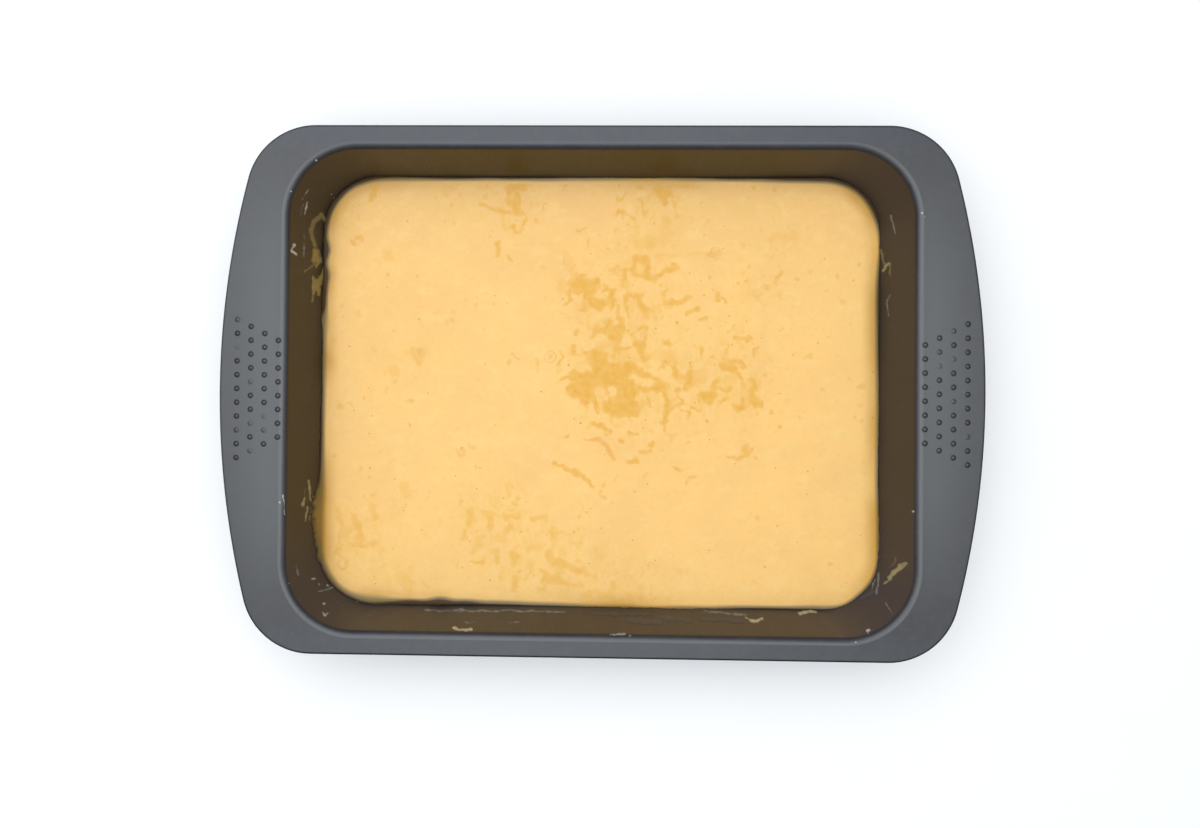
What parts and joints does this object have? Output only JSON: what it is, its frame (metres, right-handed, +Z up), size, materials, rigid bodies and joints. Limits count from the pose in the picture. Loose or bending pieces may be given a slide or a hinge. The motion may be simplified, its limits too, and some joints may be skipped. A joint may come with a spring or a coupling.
{
  "type": "soaked sponge cake in its tin",
  "caption": "Pale soaked sponge cake, level and wet on top, in the deep rectangular steel tin with flat handles that it was baked and soaked in.",
  "frame": {"origin": "under the middle of the tin's flat bottom", "axes": "+X along the tin from one handle to the other, +Y across it, +Z up"},
  "size_m": [0.3618, 0.252, 0.0505],
  "materials": {
    "coated_steel": "satin dark grey non-stick coating",
    "wet_sponge": "smooth wet pale caramel sponge"
  },
  "bodies": {
    "root": {"baking_tin": "coated_steel", "soaked_sponge": "wet_sponge"}
  },
  "joints": []
}
